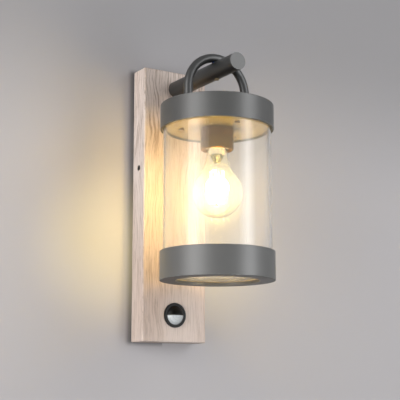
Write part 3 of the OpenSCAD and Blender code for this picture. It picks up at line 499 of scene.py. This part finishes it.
def oak():
    """Wood-effect skin: drifts, wavy growth lines and pores."""
    skin = Finish("oak_skin", specular_ior_level=0.35)
    up = skin.axis(2)
    upper, lower = up.step(*STRONGER_ABOVE), up.step(*WEAKER_BELOW)
    sway = skin.noise(11, 3, (1, 1, 0.55)) - 0.5
    across = skin.axis(0) + skin.axis(1) * 0.8 + sway * (0.042 + upper * 0.012)
    lines = streaks(skin, across, up, *GROWTH_LINES)
    fibre = streaks(skin, across, up, *PORE_LINES)
    drift = skin.noise(14, 2, (1, 1, 0.3)).step(0.34, 0.66)
    strength = 0.34 + 0.22 * drift + upper * 0.34 - lower * 0.16
    brown = lines.step(0.55, 0.36) * strength
    pores = fibre.step(0.44, 0.32) * lines.step(0.62, 0.46) * strength
    colour = skin.mix(drift, OAK_PALE, OAK_ROSE)
    colour = skin.mix(brown, colour, OAK_BROWN)
    colour = skin.mix(pores, colour, OAK_PORE)
    outer = outside(skin)
    skin.set("Base Color", skin.mix(outer, skin.mix(drift, *PRIMER), colour))
    skin.set("Roughness", 0.52 + (pores * 0.25 + fibre * 0.1) * outer)
    skin.bump(1 - (pores * 0.8 + brown * 0.3) * outer, 0.35, 0.3 * MM)
    return skin.material


def dress(finish, *nodes):
    """Gives CAD parts a finish in place of their plain colour."""
    for name in nodes:
        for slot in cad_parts[name].material_slots:
            slot.material = finish
    return finish


dress(oak(), "housing")
print("oak on the housing's outside, grey primer inside")

# %% [markdown]
# ## Powder coat
# Arm, loop, cap and ring are aluminium with an anthracite powder coat. Powder melts into a
# satin film with a very fine dimple. Faces that look down get painted shade: a darker colour
# and a duller, thinner coat. The coat rubs bright where hands and cartons touch the outer rims
# of the cap and the ring. One recipe serves all, with its own tone for each; the ring's tone of
# the same paint is lighter than the cap's, which is painted light from below.

# %% Make the powder coats
RUBBED = rgb(160, 160, 156)
RIM_HEIGHT = (1.3 * MM, 0.3 * MM)
RIM_DEPTH = (1.4 * MM, 0.6 * MM)
DOWNWARD_SHADE = (-0.6, -0.9)


def rims(finish, reach, low, high):
    """1 on the outer edges at the two heights, broken up like real rubbing."""
    side, back, up = finish.axis(0), finish.axis(1) - AXIS_Y, finish.axis(2)
    radius = (side * side + back * back) ** 0.5
    lower, upper = [abs(up - level).step(*RIM_HEIGHT) for level in (low, high)]
    outer = radius.step(*[reach - depth for depth in RIM_DEPTH])
    return lower.sum("MAXIMUM", upper) * outer * finish.noise(180, 3).step(0.42, 0.70)


def powder_coat(name, tone, edges=(), gloss=0.22):
    """Satin powder coat: fine dimple, cloudy sheen, painted shade on faces that look down, rims
    rubbed a little lighter.
    """
    coat = Finish(name, metallic=0.0, specular_ior_level=0.85, coat_roughness=0.34)
    cloud = coat.noise(26, 3)
    dimple = coat.noise(2600, 2)
    colour = coat.mix(cloud.step(0.25, 0.75), tone, dimmed(tone, 0.93))
    # Painted shade: faces that look down get a darker colour and less coat.
    facing = coat.node("ShaderNodeNewGeometry", out="Normal")
    shaded_under = coat.node("ShaderNodeSeparateXYZ", None, {0: facing}, out="Z").step(*DOWNWARD_SHADE)
    if edges:
        colour = coat.mix(rims(coat, *edges) * 0.55, colour, RUBBED)
    coat.set("Base Color", coat.mix(shaded_under, colour, dimmed(tone, 0.4)))
    coat.set("Roughness", 0.36 + cloud * 0.10 + dimple * 0.06)
    coat.set("Coat Weight", (gloss + cloud * 0.1) * (1 - shaded_under))
    return coat.bump(dimple, 0.16, 0.12 * MM).material


CAP_EDGES = (cap_high.x, cap_low.z, cap_high.z)
RING_EDGES = (ring_high.x, ring_low.z, ring_high.z)
dress(powder_coat("cap_coat", rgb(65, 65, 63), CAP_EDGES), "cap_shell")
# The ring wears the cap's paint in a lighter tone, which is painted light from below.
dress(powder_coat("ring_coat_painted_lighter", rgb(88, 88, 86), RING_EDGES), "bottom_ring")
dress(powder_coat("tube_coat", rgb(26, 27, 26), gloss=0.2), "arm_tube", "hanging_loop")
dress(powder_coat("end_disc_coat", rgb(54, 54, 52), gloss=0.2), "arm_end_disc")
print("powder coat on cap, ring, arm and loop")

# %% [markdown]
# ## Clear cylinder, disc and bulb
# Clear acrylic bends what lies behind it, mirrors the panels as upright streaks and darkens
# at its rims. Rays from lamps meet plain see-through instead, because light focused through
# curved walls would leave grain on the board. A faint haze is the dust of a real acrylic tube,
# and it makes the tube glow round the lit bulb. The disc in the ring is the same acrylic with
# a frosted face. The bulb's glass adds a faint glow of its own at the height of its strips,
# which stands for the glare round a lit lamp.

# %% Make the clear finishes
CLEAR_TINT = (0.985, 0.988, 0.99, 1)
ACRYLIC_IOR = 1.49
GLASS_IOR = 1.5
GLOW_FADE = (0.040, 0.008)


def clear_finish(name, tint, roughness, ior=ACRYLIC_IOR, sheen=0.0, haze=0.0,
                 haze_colour=BLACK, veil="Diffuse", glow=None):
    """Glass that lets lamps through; it may have an outer sheen, a haze and a faint glow."""
    clear = Finish(name, roughness=roughness, transmission_weight=1.0, ior=ior,
                   coat_weight=sheen, coat_roughness=0.28, coat_ior=1.6)
    clear.set("Base Color", tint)
    shadow = clear.node("ShaderNodeLightPath", out="Is Shadow Ray")
    open_way = clear.node("ShaderNodeBsdfTransparent", None, {0: tint})
    glass = clear.node("ShaderNodeMixShader", None,
                       {0: shadow, 1: Value(clear, clear.shader.outputs[0]), 2: open_way})
    if glow:
        near = abs(clear.axis(2) - GLOW_MIDDLE.z).step(*GLOW_FADE)
        clear.set("Emission Color", clear.mix(near, BLACK, glow))
        clear.set("Emission Strength", 1.0)
        clear.material.cycles.emission_sampling = "NONE"
    if haze:
        dust = clear.node("ShaderNodeBsdf" + veil, None, {0: haze_colour})
        cloud = clear.noise(40, 3, (1, 1, 0.2)).step(0.2, 0.8)
        share = cloud * (haze * 0.2) + haze * 0.75
        glass = clear.node("ShaderNodeMixShader", None, {0: share, 1: glass, 2: dust})
    clear.tree.links.new(glass.socket, clear.out.inputs["Surface"])
    return clear.material


dress(clear_finish("clear_acrylic", CLEAR_TINT, 0.02, sheen=0.36, veil="Translucent",
                   haze=0.020, haze_colour=(0.80, 0.86, 1, 1)), "clear_tube")
dress(clear_finish("frosted_disc", CLEAR_TINT, 0.03, veil="Translucent",
                   haze=0.50, haze_colour=(0.40, 0.42, 0.54, 1)), "bottom_disc")
dress(clear_finish("bulb_glass", (1, 0.98, 0.93, 1), 0.0, GLASS_IOR,
                   haze=0.020, haze_colour=(0.78, 0.95, 1, 1),
                   glow=(0.070, 0.065, 0.056, 1)), "bulb_glass")
dress(clear_finish("stem_glass", (0.97, 0.98, 1, 1), 0.05, GLASS_IOR), "bulb_stem")
print("clear finishes on tube, disc, bulb and stem")

# %% [markdown]
# ## Small finishes
# The rest are plain workshop materials: steel, brass, rubber, plastics. Each one gets the same
# three things that tell it from flat paint: a slightly uneven colour, an uneven gloss, and a
# bump at its own true scale. The table gives each finish its recipe and the parts that wear it.

# %% Make the small finishes
def simple(name, tone, gloss, metal=0.0, grain=900, depth=0.05 * MM, drift=0.86, **extra):
    """A plain finish: colour drift, uneven gloss and a fine bump."""
    made = Finish(name, metallic=metal, **extra)
    cloud = made.noise(70, 3)
    fine = made.noise(grain, 2)
    made.set("Base Color", made.mix(cloud.step(0.3, 0.7), tone, dimmed(tone, drift)))
    made.set("Roughness", gloss + (cloud - 0.5) * 0.12 + (fine - 0.5) * 0.1)
    return made.bump(fine, 0.3, depth).material


SMALL_FINISHES = {
    "zinc_steel": (dict(tone=rgb(196, 198, 196), gloss=0.36, metal=1.0, grain=420, drift=0.8),
                   ("wall_bracket", "terminal_screws", "earth_screw", "module_screws", "arm_nipple",
                    "arm_washer", "arm_locknut", "loop_nuts", "shade_clips")),
    "dark_screw": (dict(tone=rgb(52, 50, 48), gloss=0.4, metal=1.0),
                   ("side_screws",)),
    "dull_screw": (dict(tone=rgb(140, 124, 96), gloss=0.42, metal=0.8),
                   ("ceiling_screws", "loop_lock_screw")),
    "brass": (dict(tone=rgb(208, 172, 98), gloss=0.3, metal=1.0),
              ("terminal_inserts", "centre_contact", "screw_shell")),
    "foam": (dict(tone=rgb(40, 40, 41), gloss=0.9, grain=1500, depth=0.3 * MM), ("wall_gasket",)),
    "rubber": (dict(tone=rgb(34, 34, 35), gloss=0.7, grain=1200), ("cable_grommet",)),
    "pale_rubber": (dict(tone=rgb(196, 178, 148), gloss=0.55, grain=1200), ("disc_gasket",)),
    "sensor_black": (dict(tone=rgb(13, 12, 11), gloss=0.34, grain=600, depth=0.01 * MM,
                          specular_ior_level=0.15), ("sensor_bezel", "sensor_eye")),
    "black_plastic": (dict(tone=rgb(38, 38, 40), gloss=0.5, grain=1700),
                      ("sensor_nut", "sensor_retainer", "sensor_module")),
    "circuit_board": (dict(tone=rgb(34, 92, 62), gloss=0.35), ("pir_board",)),
    "orange_plastic": (dict(tone=rgb(222, 112, 38), gloss=0.42), ("time_dial",)),
    "white_plastic": (dict(tone=rgb(226, 224, 218), gloss=0.42), ("light_dial", "terminal_block")),
    "holder_plastic": (dict(tone=rgb(228, 224, 212), gloss=0.4),
                       ("holder_body", "holder_ring_nut")),
    "silicone": (dict(tone=rgb(214, 212, 206), gloss=0.55), ("cap_seal", "bond_bead")),
    "bulb_metal": (dict(tone=rgb(205, 205, 202), gloss=0.28, metal=1.0, grain=500, drift=0.85),
                   ("bulb_cap", "bulb_eyelet")),
    "support_wire": (dict(tone=rgb(190, 186, 176), gloss=0.3, metal=1.0), ("bulb_supports",)),
    "bulb_insulator": (dict(tone=rgb(24, 22, 22), gloss=0.2), ("bulb_insulator",)),
    "lead_brown": (dict(tone=rgb(110, 66, 40), gloss=0.38), ("lead_live",)),
    "lead_blue": (dict(tone=rgb(52, 94, 160), gloss=0.38), ("lead_neutral",)),
    "lead_red": (dict(tone=rgb(172, 44, 36), gloss=0.38), ("module_leads",)),
}
finishes = {name: dress(simple(name, **recipe), *nodes)
            for name, (recipe, nodes) in SMALL_FINISHES.items()}
print(len(finishes), "small finishes made")

# %% [markdown]
# ## Ceiling plate and sleeve
# The ceiling plate in the cap is glossy enamel and shines where the lamp grazes it. Its warm gold
# colour is partly its own and partly painted light, the bulb's warm glow laid into the paint.
# The sleeve over the lampholder is a metal tube with a brushed sheen round it. Its bronze tone
# is partly painted light, the bulb's warm glow laid into the colour of a greyer metal.

# %% Make the enamel and the brushed sleeve
def enamel():
    """Glossy enamel with a slightly uneven colour, its warm gold partly painted lamp light."""
    paint = Finish("plate_enamel", specular_ior_level=1.0)
    cloud = paint.noise(45, 3)
    # Painted light: the warm gold of both tones partly stands for the bulb's glow on the plate.
    paint.set("Base Color", paint.mix(cloud, rgb(125, 109, 60), rgb(117, 102, 55)))
    paint.set("Roughness", 0.20 + cloud * 0.1)
    return paint.bump(paint.noise(1400, 2), 0.15, 0.08 * MM).material


def brushed():
    """Metal with fine rings brushed round it, its bronze tone partly painted lamp light."""
    metal = Finish("brushed_sleeve", metallic=0.85)
    streak = metal.noise(240, 3, (1, 1, 9))
    # Painted light: the bronze tones partly stand for the bulb's warm glow on the sleeve.
    metal.set("Base Color", metal.mix(streak, rgb(128, 92, 16), rgb(114, 81, 12)))
    metal.set("Roughness", 0.20 + streak * 0.08)
    return metal.bump(streak, 0.12, 0.04 * MM).material


dress(enamel(), "ceiling_plate")
dress(brushed(), "holder_sleeve")
print("enamel on the ceiling plate, brushed metal on the sleeve")

# %% [markdown]
# ## Light strips
# A filament bulb's strips are coated in yellow phosphor that glows evenly. A strong emission in
# warm white is enough for them, and it turns to plain white in the middle, as a lit strip does.

# %% Make the glow
STRIP_LIGHTS = (1, 0.86, 0.56, 1), (1, 0.8, 0.46, 1)
STRIP_STRENGTH = 28.0


def glowing():
    """Warm glow with a slight drift in its colour."""
    strip = Finish("filament_glow", roughness=0.5)
    strip.set("Base Color", (1, 0.8, 0.45, 1))
    strip.set("Emission Color", strip.mix(strip.noise(400, 2), *STRIP_LIGHTS))
    strip.set("Emission Strength", STRIP_STRENGTH)
    return strip.material


dress(glowing(), "bulb_filaments")
print("the strips glow")

# %% [markdown]
# ## Milky lens
# The lens over the detector is a thin milky shell moulded with small facets, each of which
# looks at its own part of the yard. The CAD shell is smooth, so shallow grooves in the finish
# mark the facets off, on rings and spokes round the line of sight, with painted shade in them.

# %% Make the faceted lens finish
eye_low, eye_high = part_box("sensor_eye")
eye_middle = (eye_low + eye_high) / 2
RINGS_PER_METRE = 310
SPOKES_PER_RADIAN = 4.2


def milky():
    """Pale plastic with grooves between its facets, darkened by painted shade."""
    lens = Finish("milky_lens", roughness=0.3, specular_ior_level=0.4, coat_roughness=0.1)
    side = lens.axis(0)
    up = lens.axis(2) - eye_middle.z
    radius = (side * side + up * up) ** 0.5
    ring = abs((radius * RINGS_PER_METRE).sum("FRACT") - 0.5).step(0.5, 0.40)
    angle = side.sum("ARCTAN2", up)
    spoke = abs((angle * SPOKES_PER_RADIAN).sum("FRACT") - 0.5).step(0.5, 0.44)
    facet = ring.sum("MINIMUM", spoke)
    # Painted shade: the grooves are a darker grey than the facets.
    lens.set("Base Color", lens.mix(facet, rgb(172, 178, 182), rgb(212, 217, 220)))
    lens.set("Coat Weight", 0.3 + facet * 0.1)
    return lens.bump(facet, 0.4, 0.2 * MM).material


dress(milky(), "sensor_lens")
print("lens facets about", round(1 / RINGS_PER_METRE / MM, 1), "mm wide")

# %% [markdown]
# ## Sheet drawn up ring by ring
# A screw bulb's cap is thin sheet rolled into a rounded, wavy thread, and the socket's shell is
# made the same way. CAD has plain walls there. Both begin as a lathe form, which is drawn up
# from a circle by extruding ring after ring. Spinning a profile would leave a seam to weld.

# %% Make the helpers that draw a lathe form
ROW_STEP = 0.45 * MM
SIDES = 64


def lathe(name, rows):
    """Draws rings up the lantern's axis through (radius, height) rows."""
    start()
    radius, height = rows[0]
    bpy.ops.mesh.primitive_circle_add(vertices=SIDES, radius=radius, location=(0, AXIS_Y, height))
    piece = bpy.context.object
    piece.name = name
    bpy.ops.object.mode_set(mode="EDIT")
    bpy.ops.mesh.select_all(action="SELECT")
    for (old_radius, old_height), (new_radius, new_height) in zip(rows, rows[1:]):
        bpy.ops.mesh.extrude_region_move(
            TRANSFORM_OT_translate={"value": (0, 0, new_height - old_height)})
        share = new_radius / old_radius
        bpy.ops.transform.resize(value=(share, share, 1), center_override=(0, AXIS_Y, new_height))
    bpy.ops.mesh.select_all(action="SELECT")
    bpy.ops.mesh.normals_make_consistent(inside=False)
    bpy.ops.object.mode_set(mode="OBJECT")
    bpy.ops.object.transform_apply(location=True, rotation=True, scale=True)
    return piece


def plain_rows(radius, low, high):
    """Rows of one radius, close enough together to carry the wave."""
    count = round((high - low) / ROW_STEP)
    return [(radius, low + (high - low) * i / count) for i in range(count + 1)]


print("rings of", SIDES, "points,", round(ROW_STEP / MM, 2), "mm apart")

# %% [markdown]
# ## How a thread is rolled
# Each point of the sheet moves in by a wave that climbs one pitch a turn. A Screw modifier would
# give the wave too, but it leaves cut ends, while here the wave fades out into plain collars.
# The pitch is the way that the bulb travels for each of its turns, so the thread fits the
# bulb's own movement.

# %% Make the helpers that roll a thread
BULB_TRAVEL = 18.145 * MM
BULB_TURNS = 5
THREAD_PITCH = BULB_TRAVEL / BULB_TURNS
THREAD_DEPTH = 1.0 * MM
THREAD_FADE = 2.2 * MM
SHEET = 0.3 * MM
SMOOTH_BELOW = math.radians(40)


def smooth_share(value, low, high):
    """0 at low, 1 at high and a smooth rise between."""
    share = min(max((value - low) / (high - low), 0), 1)
    return share * share * (3 - 2 * share)


def roll_thread(piece, low, high):
    """Moves each point in by a wave that climbs one pitch a turn and fades at both ends."""
    for point in piece.data.vertices:
        out = Vector((point.co.x, point.co.y - AXIS_Y, 0))
        turn = math.atan2(out.y, out.x)
        wave = 0.5 - 0.5 * math.cos(2 * math.pi * point.co.z / THREAD_PITCH - turn)
        fade = (smooth_share(point.co.z, low, low + THREAD_FADE)
                * smooth_share(point.co.z, high, high - THREAD_FADE))
        point.co -= out.normalized() * (THREAD_DEPTH * wave * fade)


def thicken(piece):
    """Gives a sheet its thickness on the inside, and smooths its shading."""
    bpy.context.view_layer.objects.active = piece
    wall = piece.modifiers.new("wall", "SOLIDIFY")
    wall.thickness = SHEET
    wall.offset = -1
    bpy.ops.object.modifier_apply(modifier=wall.name)
    piece.select_set(True)
    bpy.ops.object.shade_smooth_by_angle(angle=SMOOTH_BELOW)


print("thread pitch", round(THREAD_PITCH / MM, 3), "mm")

# %% [markdown]
# ## The bulb's threaded cap
# The cap's barrel carries the thread. Above it the sheet narrows in a cone towards the
# insulator at the bulb's tip, and the collar below it takes the glass. The piece stands for
# the plain cap from CAD and fills the same box.

# %% Roll the bulb's cap
base_low, base_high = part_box("bulb_cap")
cap_radius = (base_high.x - base_low.x) / 2
cone_low = base_high.z - 3.4 * MM
collar = [(cap_radius - 0.35 * MM, base_low.z),
          (cap_radius, base_low.z + 0.25 * MM)]
barrel = plain_rows(cap_radius, base_low.z + 0.8 * MM, cone_low)
cone = [(cap_radius - 3.0 * MM, base_high.z - 0.4 * MM),
        (cap_radius - 3.5 * MM, base_high.z)]
base_cap = lathe("bulb_cap_threaded", collar + barrel + cone)
roll_thread(base_cap, base_low.z + 1.2 * MM, cone_low - 0.2 * MM)
thicken(base_cap)
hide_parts("bulb_cap")
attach(base_cap, "bulb_base")
base_cap.data.materials.append(finishes["bulb_metal"])
print("bulb's cap:", len(base_cap.data.vertices), "points")

# %% [markdown]
# ## The socket's threaded shell
# The brass shell in the lampholder has the same wave, a little wider, and its top is turned in
# as a flat rim. Both waves are counted from the same height, so they are in step when the bulb
# is in, and again when it has come out by whole turns.

# %% Roll the socket's shell
shell_low, shell_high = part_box("screw_shell")
shell_radius = cap_radius + 0.6 * MM
mouth = [(shell_radius + 0.08 * MM, shell_low.z)]
barrel = plain_rows(shell_radius, shell_low.z + 0.4 * MM, shell_high.z - 0.5 * MM)
rim = [(shell_radius - 0.5 * MM, shell_high.z),
       (7.5 * MM, shell_high.z)]
shell = lathe("screw_shell_threaded", mouth + barrel + rim)
roll_thread(shell, shell_low.z + 0.6 * MM, shell_high.z - 0.6 * MM)
thicken(shell)
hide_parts("screw_shell")
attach(shell, "root")
shell.data.materials.append(finishes["brass"])
print("socket's shell:", len(shell.data.vertices), "points")

# %% [markdown]
# ## Scales round the two dials
# The dials for time and daylight are set with a screwdriver on the back of the electronics
# case. Moulded ticks round each show how far it is turned, longer from low to high. One tick
# is a cube with its edges rounded; it is copied round the dial's middle, and then each copy is
# drawn out a little further. An array round an empty would do for the copies too, but it could
# not lengthen the ticks.

# %% Mould the tick scales
case_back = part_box("sensor_module")[1].y
TICKS = 10
SWEEP = math.radians(270)
TICK_WIDTH = 0.45 * MM
TICK_RISE = 0.5 * MM
TICK_LENGTH = 1.0 * MM
TICK_EDGE = 0.1 * MM
TICK_GAP = 0.9 * MM
EXTRA_FIRST = 0.2 * MM
EXTRA_LAST = 1.4 * MM


def tick_scale(name, dial):
    """Ten raised ticks from lower left to lower right round one dial."""
    dial_low, dial_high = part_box(dial)
    middle = (dial_low + dial_high) / 2
    middle.y = case_back
    halfway = (dial_high.x - dial_low.x) / 2 + TICK_GAP + TICK_LENGTH / 2
    start()
    bpy.ops.mesh.primitive_cube_add(size=1)
    scale = bpy.context.object
    scale.name = name
    bpy.ops.object.mode_set(mode="EDIT")
    bpy.ops.transform.resize(value=(TICK_WIDTH, TICK_RISE, TICK_LENGTH))
    bpy.ops.mesh.bevel(offset=TICK_EDGE, segments=1, affect="EDGES")
    bpy.ops.transform.translate(value=(middle.x, middle.y, middle.z + halfway))
    bpy.ops.transform.rotate(value=-SWEEP / 2, orient_axis="Y", center_override=tuple(middle))
    for _ in range(1, TICKS):
        bpy.ops.mesh.duplicate()
        bpy.ops.transform.rotate(value=SWEEP / (TICKS - 1), orient_axis="Y",
                                 center_override=tuple(middle))
    bpy.ops.mesh.select_all(action="SELECT")
    bpy.ops.mesh.normals_make_consistent(inside=False)
    bpy.ops.object.mode_set(mode="OBJECT")
    for point in scale.data.vertices:
        out = point.co - middle
        out.y = 0
        turned = (math.atan2(out.x, out.z) + SWEEP / 2) / SWEEP
        if out.length > halfway:
            extra = EXTRA_FIRST + (EXTRA_LAST - EXTRA_FIRST) * turned
            point.co += out.normalized() * extra
    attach(scale, "root")
    scale.data.materials.append(finishes["white_plastic"])
    return scale


scales = [tick_scale("time_scale", "time_dial"), tick_scale("light_scale", "light_dial")]
print("scales:", [len(scale.data.polygons) for scale in scales], "faces")
